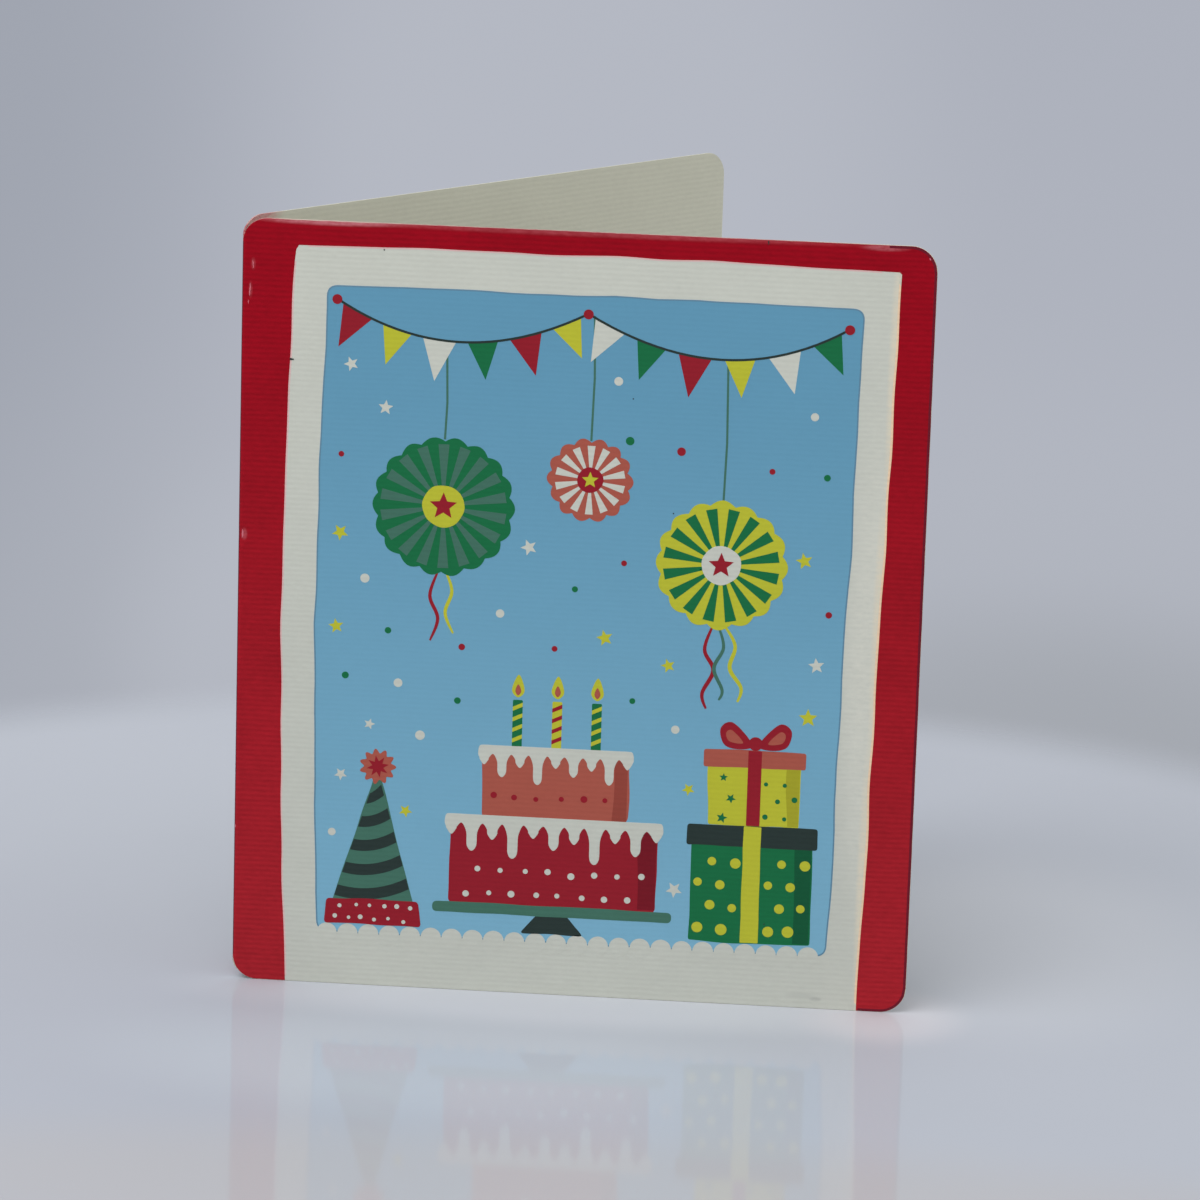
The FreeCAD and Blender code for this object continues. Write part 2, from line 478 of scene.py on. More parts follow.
# Flat faces become a film of ink that stands on the board and follows its bend. Printing 1 is the lowest.
def layInk(name, mesh, printing, ink):
    if printing > 3:
        flatPicture.from_mesh(mesh)
    film = bmesh.new()
    film.from_mesh(mesh)
    bmesh.ops.remove_doubles(film, verts=film.verts, dist=0.002)
    if min(vert.co.x for vert in film.verts) < bendReach:
        cuts = [Vector((s, 0, 0)) for s in [bendReach * step / 12 for step in range(-12, 13)] + knockColumns]
        cuts += [Vector((0, z, 0)) for z in knockRows]
        for spot in cuts:
            across = (0, 1, 0) if spot.y else (1, 0, 0)
            bmesh.ops.bisect_plane(film, geom=film.verts[:] + film.edges[:] + film.faces[:],
                                   plane_co=spot, plane_no=across, dist=0.0005)
    for face in film.faces:
        if face.normal.z < 0:
            face.normal_flip()
    grown = bmesh.ops.extrude_face_region(film, geom=film.faces[:], use_keep_orig=True)
    raised = {part for part in grown["geom"] if isinstance(part, bmesh.types.BMVert)}
    topDepth = sheet["printRoom"] - sheet["inkStep"] * printing
    for vert in film.verts:
        depth = topDepth if vert in raised else sheet["printRoom"]
        vert.co = onSheet(vert.co.x, vert.co.y, depth)
    bmesh.ops.recalc_face_normals(film, faces=film.faces)
    for face in film.faces:
        face.smooth = True
    film.to_mesh(mesh)
    film.free()
    mesh.set_sharp_from_angle(angle=radians(35))
    addPiece(name, mesh, inks[ink])


def printShapes(name, loops, printing, ink):
    layInk(name, filledMesh(name, loops), printing, ink)


# A shape with softened corners, cut by hand, and an upright block of that kind
def printCut(name, points, radius, cut, printing, ink):
    printShapes(name, [handCut(roundedLoop(points, radius), *cut)], printing, ink)


def printBlock(name, middle, half, bottom, top, radius, cut, printing, ink):
    left, right = middle - half, middle + half
    printCut(name, [(left, bottom), (right, bottom), (right, top), (left, top)], radius, cut, printing, ink)


# Inks, as they look on this stock: colour, how strongly the laid lines show in it, roughness, sheen
inkTones = {
    "red": (linear(149, 3, 25), 2.8, 0.48, 0.07),
    "cream": (linear(200, 202, 192), 0.85, 0.56, 0.14),
    "blue": (linear(96, 151, 180), 0.4, 0.50, 0.14),
    "green": (linear(22, 108, 65), 0.9, 0.46, 0.12),
    "yellow": (linear(186, 187, 53), 0.7, 0.50, 0.12),
    "crimson": (linear(146, 27, 41), 1.0, 0.46, 0.12),
    "coral": (linear(168, 86, 72), 0.9, 0.48, 0.12),
    "sage": (linear(67, 111, 95), 0.9, 0.48, 0.12),
    "pine": (linear(42, 55, 52), 1.2, 0.48, 0.12),
    "garnet": (linear(118, 20, 34), 1.0, 0.46, 0.12),       # the darker side of crimson shapes
    "brick": (linear(146, 68, 57), 0.9, 0.48, 0.12),        # of coral ones
    "moss": (linear(17, 86, 54), 0.9, 0.46, 0.12),          # of green ones
    "ochre": (linear(164, 161, 42), 0.7, 0.50, 0.12),       # of yellow ones
    "peach": (linear(237, 206, 172), 1.0, 0.54, 0.14),      # where the cream falls short of the red
    "blush": (linear(216, 182, 179), 1.0, 0.54, 0.14),      # where red has run a little into the cream
    "edgeShadeRed": (linear(108, 24, 40), 1.2, 0.50, 0.10),   # painted shade: the red darker along the cut edges and the fold's crest, where they turn from the light
    "pressedBlue": (linear(96, 135, 158), 1.0, 0.50, 0.14),
    "worn": (linear(205, 112, 124), 1.0, 0.66, 0.10),       # red rubbed nearly through
}
# Painted light towards the foot: the red and blue paler with a painted reflection of the table, the cream
# darker with painted shade
footReflectionAndShade = {                # paler towards the foot
    "red": linear(166, 33, 43),
    "blue": linear(124, 176, 201),
    "cream": linear(195, 197, 187),
}
# Pale pink for rubbed red, and for the painted highlight along the top edge
wearAndHighlightPink = linear(196, 116, 124)
wearAndHighlightMarks = {
    "red": [
        (wearAndHighlightPink, (17.0, 0, 149.8), (17.0, 0.9, 0.95), 1.5),     # the top edge: wear, and a painted highlight where its rounded edge meets the light, most near the fold
        (wearAndHighlightPink, (68.0, 0, 149.9), (66.0, 0.9, 1.1), 0.45),
        (wearAndHighlightPink, (121.0, 0, 149.4), (5.5, 0.9, 0.8), 0.8),
        (wearAndHighlightPink, (2.2, 0, 141.2), (0.6, 0.9, 1.5), 0.3),        # round the slits by the fold
        (wearAndHighlightPink, (1.75, 0, 136.2), (0.5, 0.9, 2.0), 0.35),
        (wearAndHighlightPink, (1.2, 0, 88.8), (0.8, 0.9, 1.5), 0.6),         # the knock
    ],
    "cream": [
        (linear(140, 142, 140), (113.6, 0, 1.9), (1.6, 0.9, 0.6), 0.6),     # grey patches near the foot
        (linear(150, 152, 148), (110.8, 0, 2.5), (4.2, 0.9, 0.7), 0.35),
        (linear(216, 215, 203), (122.0, 0, 66.0), (7.0, 0.9, 62.0), 1.0),   # yellower on the right
        *((linear(222, 211, 188), (x, 0, z), (1.8, 0.9, 38.0), 1.5)
          for x, z in ((122.0, 22.0), (123.0, 72.0), (124.0, 122.0))),
    ],
}
inks = {name: paperFinish(name + "Ink", *tone, footReflectionAndShade.get(name), wearAndHighlightMarks.get(name, ()))
        for name, tone in inkTones.items()}

# Printed border, red round a cream band round a blue field
border = {
    "left": 8.75,            # red, from the fold's outermost line, half way up
    "leftBow": 1.9,          # and this much wider towards both ends
    "top": 4.45,
    "topBow": 0.75,
    "rightTop": 6.45,
    "rightFoot": 9.25,
    "aroundFold": 10.0,      # the red strip that goes on round the fold, onto the back
    "band": 6.45,            # cream, at the sides
    "topBand": 7.5,
    "fieldFoot": 10.4,       # lower edge of the blue field
    "edgeRub": 0.06,         # bare board left along a cut edge
    "register": 0.4,         # the cream falls this far short of the red on the right
    "bleed": 0.3,            # red run into the cream, on the left and along the top
    "rim": 0.5,              # dark rim along the cut edges: painted shade where the edge turns from the light
    "fieldRim": 0.3,
}


def edgeRub(s, z):
    rubbed = border["edgeRub"] + 0.05 * noise.noise(Vector((s / 3.0, z / 3.0, 3.0)))
    if 3 < s < 36 and z > 100:
        rubbed += 0.07 * sin(pi * (s - 3) / 33) * (1 + noise.noise(Vector((s / 2.2, 7.0, 0.0))))
    return max(rubbed, 0.03)


def alongTop(first, last, inset=0.0):
    return [(s, topEdge(s, inset + edgeRub(s, 149))) for s in sheetColumns(first, last, 1.2)]


def alongBottom(first, last, inset=0.0):
    return [(s, bottomEdge(s, inset + edgeRub(s, 1))) for s in sheetColumns(first, last, 1.2)]


def alongFreeEdge(inset=0.0):
    rounding = sheet["cornerRadius"]
    heights = [rounding + (sheet["height"] - 2 * rounding) * part / 90 for part in range(91)]
    return [(sheetReach - inset - edgeRub(sheetReach, z), z) for z in heights]


# From some way along the foot, round the free edge and back along the top
def roundFreeEdge(first, inset=0.0):
    last = sheetReach - 0.3 - inset
    return alongBottom(first, last, inset) + alongFreeEdge(inset) + alongTop(first, last, inset)[::-1]


def handWobble(t, seed, amount=0.2):
    return amount * 2 * noise.noise(Vector((t / 13.0, seed, 0.0)))


def redLeft(z):
    return border["left"] + border["leftBow"] * (2 * z / sheet["height"] - 1) ** 2 + handWobble(z, 3.1)


def redRight(z):
    part = z / sheet["height"]
    width = border["rightFoot"] + (border["rightTop"] - border["rightFoot"]) * part
    return sheet["width"] - width + handWobble(z, 8.4)


def redTop(s):
    across = 2 * s / sheet["width"] - 1
    return sheet["height"] - border["top"] - border["topBow"] * across ** 2 + handWobble(s, 5.7)


# Small damage in the red: slits by the fold, the knock, and chips at the upper corner
wornSpots = [
    [(2.22, 142.0), (2.38, 141.4), (2.40, 140.6), (2.26, 140.2), (2.20, 141.0)],
    [(1.80, 137.6), (1.92, 136.8), (1.84, 135.9), (1.70, 135.0), (1.60, 135.2), (1.66, 136.4)],
    [(1.50, 134.3), (1.58, 134.0), (1.50, 133.4), (1.42, 133.8)],
    [(0.95, 89.7), (1.20, 89.2), (1.15, 88.4), (0.92, 87.9), (0.82, 88.8)],
    [(0.25, 31.1), (0.50, 30.8), (0.40, 30.4), (0.15, 30.6)],
    [(129.4, 147.9), (129.7, 147.8), (129.8, 147.4), (129.5, 147.5)],
]
darkSpots = [
    [(9.5, 123.4), (10.3, 123.25), (10.35, 123.05), (9.6, 122.95)],     # a nick in the red's edge
    [(99.2, 149.75), (99.45, 149.75), (99.4, 149.1), (99.25, 149.1)],
]
specks = [(27.1, 144.9), (74.9, 118.5), (83.2, 96.7), (88.7, 86.0), (103.3, 16.5)]
darkSpots += [discLoop(x, z, 0.14, 8) for x, z in specks]


# Points on one of the red's inner sides, or along its inner top
def onSide(edge, shift, *heights):
    return [(edge(z) + shift, z) for z in range(*heights)]


def onTop(shift, *places):
    return [(s, redTop(s) + shift) for s in range(*places)]


def printBorder():
    aroundFold, rim = border["aroundFold"], border["rim"]
    inside = redTop(11) - 0.1
    leftCorner = [(redLeft(inside) + 0.1, inside - 0.7), (redLeft(inside) + 0.6, redTop(11))]
    rightCorner = [(redRight(inside) - 0.4, redTop(124)), (redRight(inside), inside - 0.5)]
    loop = alongBottom(-aroundFold, redLeft(0)) + onSide(redLeft, 0, 2, int(inside) - 1, 2) + leftCorner
    loop += onTop(0, 13, 122, 2) + rightCorner + onSide(redRight, 0, int(inside) - 2, 0, -2)
    loop += roundFreeEdge(redRight(0)) + alongTop(-aroundFold, redRight(0))[-2::-1]
    loop += [(-aroundFold + handWobble(z, 11.0), z) for z in range(147, 2, -3)]
    printShapes("redBorder", [loop], 3, "red")
    # Painted shade: a dark line along the fold's crest and along the free edges
    foldRim = handCut(boxLoop(-0.55, 4.7, 0.28, sheet["height"] - 4.7, 0.3), 0.05, 4.0, 3.0)
    rimStart = redRight(0) + 0.3
    outerRim = roundFreeEdge(rimStart, 0.02) + roundFreeEdge(rimStart, rim)[::-1]
    printShapes("pressedRim", [foldRim, outerRim], 4, "edgeShadeRed")
    printShapes("wornSpots", [handCut(spot, 0.03, 0.4, 2.0, step=0.3) for spot in wornSpots], 5, "worn")
    printShapes("darkSpots", darkSpots, 6, "pine")


def printField():
    overlap, short, bleed = 0.5, border["register"], border["bleed"]
    inside = sheet["height"] - border["top"] + overlap
    right = [(redRight(inside) - short, inside)]
    right += [(redRight(z) - short + handWobble(z, 2.0, 0.06), z) for z in range(143, 1, -2)]
    loop = onSide(redLeft, -overlap, 2, 144, 2) + [(redLeft(inside) - overlap, inside)]
    loop += onTop(overlap, 11, 124, 2) + right
    loop += alongBottom(redLeft(0) - overlap, redRight(0) - short)[::-1]
    printShapes("creamBand", [loop], 2, "cream")
    gap = onSide(redRight, 0.25, 1, 144, 3) + onSide(redRight, -short - 0.25, 143, 0, -3)
    printShapes("registerLine", [gap], 1, "peach")
    leftBleed = onSide(redLeft, -0.2, 1, 144, 3) + onSide(redLeft, bleed, 142, 0, -3)
    topBleed = onTop(0.2, 12, 123, 3) + onTop(-bleed, 121, 11, -3)
    printShapes("redBleed", [leftBleed, topBleed], 2.5, "blush")
    band, topBand, fieldFoot = border["band"], border["topBand"], border["fieldFoot"]
    field = [(redLeft(fieldFoot) + band, fieldFoot), (redRight(fieldFoot) - band, fieldFoot)]
    field += [(s, z, 0) for s, z in onSide(redRight, -band, 18, 132, 6)]
    field += [(redRight(138) - band, redTop(118) - topBand)]
    field += [(s, z, 0) for s, z in onTop(-topBand, 111, 22, -8)]
    field += [(redLeft(138) + band, redTop(16) - topBand)]
    field += [(s, z, 0) for s, z in onSide(redLeft, band, 132, 17, -6)]
    fieldLoop = handCut(roundedLoop(field, 2.2), 0.12, 11.0, 6.0)
    printShapes("blueField", [fieldLoop], 3, "blue")
    rim = [inwardLoop(fieldLoop, 0.02), inwardLoop(fieldLoop, border["fieldRim"])]
    printShapes("fieldRim", rim, 3.5, "pressedBlue")


printField()
printBorder()
print("border and field printed")


# Geometry Nodes: a tree for flat shapes, with its inputs named by what they size
def newShapeTree(name, inputs):
    tree = bpy.data.node_groups.new(name, "GeometryNodeTree")
    for label, kind in {**inputs, "Ink": "Material"}.items():
        tree.interface.new_socket(label, in_out="INPUT", socket_type="NodeSocket" + kind)
    tree.interface.new_socket("Shapes", in_out="OUTPUT", socket_type="NodeSocketGeometry")
    return tree, tree.nodes.new("NodeGroupInput").outputs


def endShapeTree(tree, given, shapes):
    real = addNode(tree, "GeometryNodeRealizeInstances", {"Geometry": shapes})
    inked = addNode(tree, "GeometryNodeSetMaterial", {"Geometry": real, "Material": given["Ink"]})
    addNode(tree, "NodeGroupOutput", {"Shapes": inked})
    return tree


# Copies of a shape on points, each in a size of its own: the seed, the smallest and the largest
def endWithCopies(tree, given, points, shape, sizes, **more):
    seed, low, high = sizes
    size = addNode(tree, "FunctionNodeRandomValue", {"Seed": seed, 2: low, 3: high}, data_type="FLOAT")
    copies = addNode(tree, "GeometryNodeInstanceOnPoints", {
        "Points": points, "Instance": shape, "Scale": size.outputs[1], **more})
    return endShapeTree(tree, given, copies)


# Runs a tree and prints its flat shapes
def printFromTree(name, tree, values, printing, ink, ground=None):
    holder = addObject("shapeHolder", ground or bpy.data.meshes.new("shapeHolder"))
    modifier = holder.modifiers.new("shapes", "NODES")
    modifier.node_group = tree
    values["Ink"] = inks[ink]
    for socket in tree.interface.items_tree:
        if socket.in_out == "INPUT" and socket.name in values:
            modifier[socket.identifier] = values[socket.name]
    layInk(name, plainMesh(holder), printing, ink)


# True for every so many of the points, counted from First
def everyFew(tree, given):
    left = maths(tree, "FLOORED_MODULO", addNode(tree, "GeometryNodeInputIndex"), given["Every"])
    return addNode(tree, "FunctionNodeCompare", {2: left, 3: given["First"]},
                   data_type="INT", operation="EQUAL")


def anySpin(tree, seed):
    return addNode(tree, "FunctionNodeRandomValue", {0: (0, 0, 0), 1: (0, 0, 6.28), "Seed": seed},
                   data_type="FLOAT_VECTOR")


# The filled dot or star that a tree's inputs give
def filledStar(tree, given):
    outline = addNode(tree, "GeometryNodeCurveStar", {
        "Points": given["Corners"], "Inner Radius": given["Inner Radius"],
        "Outer Radius": given["Outer Radius"]})
    return addNode(tree, "GeometryNodeFillCurve", {"Curve": outline}, mode="NGONS")


# Triangular flags hanging from a sagging line
def flagRowTree():
    tree, given = newShapeTree("flagRow", {
        "Start": "Vector", "Sag": "Vector", "End": "Vector", "Flags": "Int",
        "Flag Width": "Float", "Flag Length": "Float", "First": "Int", "Every": "Int"})
    line = addNode(tree, "GeometryNodeCurveQuadraticBezier", {
        "Resolution": 60, "Start": given["Start"], "Middle": given["Sag"], "End": given["End"]})
    middle = addNode(tree, "GeometryNodeTrimCurve", {"Curve": line, 2: 0.09, 3: 0.91},
                     mode="FACTOR")
    points = addNode(tree, "GeometryNodeCurveToPoints", {
        "Curve": middle, "Count": given["Flags"]}, mode="COUNT")
    turn = addNode(tree, "FunctionNodeAlignRotationToVector", {"Vector": points.outputs["Tangent"]},
                   axis="X", pivot_axis="Z")
    corner = addNode(tree, "GeometryNodeMeshCircle", {"Vertices": 3, "Radius": 1.0}, fill_type="NGON")
    across = maths(tree, "DIVIDE", given["Flag Width"], sqrt(3))
    down = maths(tree, "DIVIDE", given["Flag Length"], 1.5)
    shape = addNode(tree, "ShaderNodeCombineXYZ", {"X": down, "Y": across, "Z": 1.0})
    drop = addNode(tree, "ShaderNodeCombineXYZ", {"Y": maths(tree, "MULTIPLY", down, -0.5)})
    flag = addNode(tree, "GeometryNodeTransform", {
        "Geometry": corner, "Rotation": (0, 0, -pi / 2), "Scale": shape,
        "Translation": drop})
    return endWithCopies(tree, given, points, flag, (4, 0.93, 1.07),
                         Selection=everyFew(tree, given), Rotation=turn)


# Dots or stars in staggered rows on a box, each a little off its place
def spottedTree():
    tree, given = newShapeTree("spotted", {
        "Middle": "Vector", "Across": "Int", "Up": "Int", "Spacing": "Float", "Corners": "Int",
        "Outer Radius": "Float", "Inner Radius": "Float", "Seed": "Int"})
    spacing = given["Spacing"]
    wide = maths(tree, "MULTIPLY", maths(tree, "SUBTRACT", given["Across"], 1.0), spacing)
    high = maths(tree, "MULTIPLY", maths(tree, "SUBTRACT", given["Up"], 1.0), spacing)
    grid = addNode(tree, "GeometryNodeMeshGrid", {
        "Size X": wide, "Size Y": high, "Vertices X": given["Across"], "Vertices Y": given["Up"]})
    place = addNode(tree, "ShaderNodeSeparateXYZ", {0: addNode(tree, "GeometryNodeInputPosition")})
    fromFoot = maths(tree, "MULTIPLY_ADD", high, 0.5, place.outputs["Y"])
    row = maths(tree, "ROUND", maths(tree, "DIVIDE", fromFoot, spacing))
    side = maths(tree, "SUBTRACT", maths(tree, "FLOORED_MODULO", row, 2.0), 0.5)
    stagger = maths(tree, "MULTIPLY", side, maths(tree, "MULTIPLY", spacing, 0.5))
    offset = addNode(tree, "ShaderNodeCombineXYZ", {"X": stagger})
    shake = addNode(tree, "FunctionNodeRandomValue", {
        0: (-0.35, -0.35, 0.0), 1: (0.35, 0.35, 0.0), "Seed": given["Seed"]}, data_type="FLOAT_VECTOR")
    for more in (shake, given["Middle"]):
        offset = addNode(tree, "ShaderNodeVectorMath", {0: offset, 1: more}, operation="ADD")
    moved = addNode(tree, "GeometryNodeSetPosition", {"Geometry": grid, "Offset": offset})
    return endWithCopies(tree, given, moved, filledStar(tree, given), (7, 0.8, 1.15),
                         Rotation=anySpin(tree, 3))


# Every second pleat of a round paper fan
def pleatTree():
    tree, given = newShapeTree("pleats", {
        "Middle": "Vector", "Pleats": "Int", "Radius": "Float", "Turn": "Float"})
    fan = addNode(tree, "GeometryNodeMeshCircle", {
        "Vertices": maths(tree, "MULTIPLY", given["Pleats"], 2.0), "Radius": given["Radius"]},
        fill_type="TRIANGLE_FAN")
    odd = maths(tree, "FLOORED_MODULO", addNode(tree, "GeometryNodeInputIndex"), 2.0)
    half = addNode(tree, "GeometryNodeDeleteGeometry", {"Geometry": fan, "Selection": odd},
                   domain="FACE")
    turned = addNode(tree, "ShaderNodeCombineXYZ", {"Z": given["Turn"]})
    placed = addNode(tree, "GeometryNodeTransform", {
        "Geometry": half, "Translation": given["Middle"], "Rotation": turned})
    return endShapeTree(tree, given, placed)


# Confetti strewn over a flat ground, clear of what is printed there and never closer than a set distance
def confettiTree():
    tree, given = newShapeTree("confetti", {
        "Ground": "Geometry", "Printed": "Object", "Clearance": "Float", "Spacing": "Float", "Seed": "Int",
        "Corners": "Int", "Outer Radius": "Float", "Inner Radius": "Float", "First": "Int", "Every": "Int"})
    strewn = addNode(tree, "GeometryNodeDistributePointsOnFaces", {
        "Mesh": given["Ground"], "Distance Min": given["Spacing"], "Density Max": 1.0,
        "Seed": given["Seed"]}, distribute_method="POISSON")
    printed = addNode(tree, "GeometryNodeObjectInfo", {"Object": given["Printed"]})
    nearest = addNode(tree, "GeometryNodeProximity", {0: printed.outputs["Geometry"]},
                      target_element="FACES")
    tooNear = addNode(tree, "FunctionNodeCompare", {0: nearest.outputs["Distance"], 1: given["Clearance"]},
                      data_type="FLOAT", operation="LESS_THAN")
    points = addNode(tree, "GeometryNodeDeleteGeometry", {
        "Geometry": strewn, "Selection": tooNear}, domain="POINT")
    return endWithCopies(tree, given, points, filledStar(tree, given), (9, 0.75, 1.2),
                         Selection=everyFew(tree, given), Rotation=anySpin(tree, 5))


# Round lobes side by side, as along the edge of a cloth
def lobeRowTree():
    tree, given = newShapeTree("lobeRow", {"Start": "Vector", "Lobes": "Int", "Radius": "Float"})
    along = addNode(tree, "ShaderNodeCombineXYZ", {"X": maths(tree, "MULTIPLY", given["Radius"], 1.98)})
    line = addNode(tree, "GeometryNodeMeshLine", {
        "Count": given["Lobes"], "Start Location": given["Start"], "Offset": along}, mode="OFFSET")
    lobe = addNode(tree, "GeometryNodeMeshCircle", {
        "Vertices": 28, "Radius": maths(tree, "MULTIPLY", given["Radius"], 0.985)}, fill_type="NGON")
    return endWithCopies(tree, given, line, lobe, (2, 0.95, 1.0))


spotted = spottedTree()


def printSpots(name, ink, printing, middle, across, up, spacing, radius, star=False, seed=1):
    values = {"Middle": (*middle, 0.0), "Across": across, "Up": up, "Spacing": spacing,
              "Corners": 5 if star else 10, "Outer Radius": radius,
              "Inner Radius": radius * 0.45 if star else radius, "Seed": seed}
    printFromTree(name, spotted, values, printing, ink)


# Bunting across the top of the field
bunting = {
    "swags": [((18.4, 135.2), (41.0, 121.0), (66.0, 134.4)), ((66.0, 134.4), (92.0, 119.5), (115.2, 133.6))],
    "flags": 6,
    "flagWidth": 6.0,
    "flagLength": 7.6,
    "inks": ["crimson", "yellow", "cream", "green"],
    "cord": 0.45,
}


def printBunting():
    tree = flagRowTree()
    for number, (start, sag, end) in enumerate(bunting["swags"]):
        for first, ink in enumerate(bunting["inks"]):
            values = {"Start": (*start, 0.0), "Sag": (*sag, 0.0), "End": (*end, 0.0),
                      "Flags": bunting["flags"], "Flag Width": bunting["flagWidth"],
                      "Flag Length": bunting["flagLength"],
                      "First": (first + 2 * number) % len(bunting["inks"]), "Every": len(bunting["inks"])}
            printFromTree(f"flags_{number + 1}_{ink}", tree, values, 4, ink)
        cord = strokeLoop(curveLine(start, sag, end), bunting["cord"])
        printShapes(f"buntingCord_{number + 1}", [cord], 5, "pine")
    pins = [bunting["swags"][0][0], bunting["swags"][0][2], bunting["swags"][1][2]]
    printShapes("buntingPins", [discLoop(x, z - 0.1, 0.95, 20) for x, z in pins], 6, "crimson")


# The cloth that everything stands on, with lobes along its edge
cloth = {"start": (18.6, 10.3), "lobes": 24, "radius": 2.05}


def printCloth():
    values = {"Start": (*cloth["start"], 0.0), "Lobes": cloth["lobes"], "Radius": cloth["radius"]}
    printFromTree("clothLobes", lobeRowTree(), values, 4, "cream")


# A layer cake on its stand
cake = {
    "middle": 62.2,
    "foot": 12.9,
    "lowerHalf": 20.0,
    "lowerHeight": 17.5,
    "upperHalf": 14.0,
    "upperHeight": 14.0,
    "drips": [2.2, 5.4, 3.0, 6.6, 2.4, 4.6, 3.2, 7.0, 2.6, 5.0, 2.0],
    "upperDrips": [2.0, 4.4, 2.4, 5.6, 2.2, 3.8, 2.4, 5.0, 1.8],
    "candleHeight": 9.5,
    "candleHalf": 0.95,
    "candles": [(-7.6, "green", "yellow"), (0.0, "yellow", "crimson"), (7.6, "green", "yellow")],
}


# Icing with a level top and a row of drips of given lengths
def icingLoop(middle, half, top, drips, thick=1.9):
    step = 2 * half / (len(drips) - 1)
    reach = step * 0.27
    base = top - thick
    under = []
    for number, drip in enumerate(drips):
        x = middle - half + step * number
        foot = base - drip
        under += [(x - reach, base - 0.3 * drip), (x - reach * 0.85, foot + reach), (x, foot),
                  (x + reach * 0.85, foot + reach), (x + reach, base - 0.3 * drip)]
        if number < len(drips) - 1:
            under.append((x + step * 0.5, base + 0.15))
    right, left = middle + half + reach, middle - half - reach
    count = 14
    over = [(right + 0.25, base + 0.2), (right, top - 0.25)]
    over += [(right - 0.9 + (left - right + 1.8) * part / count, top) for part in range(count + 1)]
    over += [(left, top - 0.25), (left - 0.25, base + 0.2)]
    return smoothLine(under + over, closed=True, steps=5)


# The darker side of a printed shape, on its right, with an uneven inner edge
def shadeSide(name, right, bottom, top, width, ink):
    inner = [(right - width + handWobble(bottom + (top - bottom) * part / 6, right, 0.35),
              bottom + (top - bottom) * part / 6) for part in range(6, -1, -1)]
    loop = [(right, bottom), (right, top)] + smoothLine(inner, steps=4)
    printShapes(name, [loop], 4.5, ink)


def printCandle(number, x, foot, ink, stripe):
    top, half = foot + cake["candleHeight"], cake["candleHalf"]
    printShapes(f"candle_{number}", [boxLoop(x - half, foot, x + half, top, 0.3)], 4, ink)
    bands = []
    for turn in range(4):
        z = foot + 1.0 + 2.1 * turn
        bands.append([(x - half, z), (x + half, z + 0.9), (x + half, z + 1.7), (x - half, z + 0.8)])
    printShapes(f"candleBands_{number}", bands, 5, stripe)
    flame = [(x, top + 0.5), (x + 1.25, top + 1.9), (x + 0.1, top + 5.0), (x - 1.2, top + 2.0)]
    heart = [(x, top + 0.9), (x + 0.6, top + 1.8), (x, top + 3.1), (x - 0.55, top + 1.8)]
    printShapes(f"flame_{number}", [smoothLine(flame, closed=True)], 4, "yellow")
    printShapes(f"flameHeart_{number}", [smoothLine(heart, closed=True)], 5, "coral")


def printCake():
    middle, plate = cake["middle"], cake["foot"] + 4.6
    lower, upper = cake["lowerHalf"], cake["upperHalf"]
    tier = plate + cake["lowerHeight"]
    top = tier + cake["upperHeight"]
    foot = [(middle - 6.2, cake["foot"] - 0.8), (middle + 6.2, cake["foot"] - 0.8),
            (middle + 2.6, plate - 1.2), (middle - 2.6, plate - 1.2)]
    printCut("cakeStandFoot", foot, 0.9, (0.1, 5.0, 1.0), 4, "pine")
    printBlock("cakePlate", middle, lower + 3.2, plate - 1.8, plate + 0.3, 1.0, (0.1, 8.0, 2.0), 5, "sage")
    printBlock("lowerTier", middle, lower, plate, tier, 1.2, (0.25, 9.0, 3.0), 4, "crimson")
    printBlock("upperTier", middle, upper, tier, top, 1.2, (0.25, 9.0, 4.0), 4, "coral")
    shadeSide("lowerTierSide", middle + lower - 0.15, plate + 0.6, tier - 1.4, 3.4, "garnet")
    shadeSide("upperTierSide", middle + upper - 0.12, tier + 0.3, top - 1.4, 2.6, "brick")
    printShapes("lowerIcing", [icingLoop(middle, lower - 0.2, tier + 0.5, cake["drips"])], 5, "cream")
    printShapes("upperIcing", [icingLoop(middle, upper - 0.2, top + 0.5, cake["upperDrips"])], 5, "cream")
    printSpots("lowerTierDots", "cream", 5, (middle, plate + 4.6), 8, 2, 4.5, 0.6, seed=2)
    printSpots("upperTierDots", "crimson", 6, (middle, tier + 4.4), 6, 1, 4.4, 0.6, seed=6)
    for number, (shift, ink, stripe) in enumerate(cake["candles"], 1):
        printCandle(number, middle + shift, top + 0.2, ink, stripe)


# A striped paper hat with a spotted band
hat = {"middle": 27.4, "foot": 12.2, "half": 8.6, "height": 31.0, "band": 5.2, "stripes": 5}


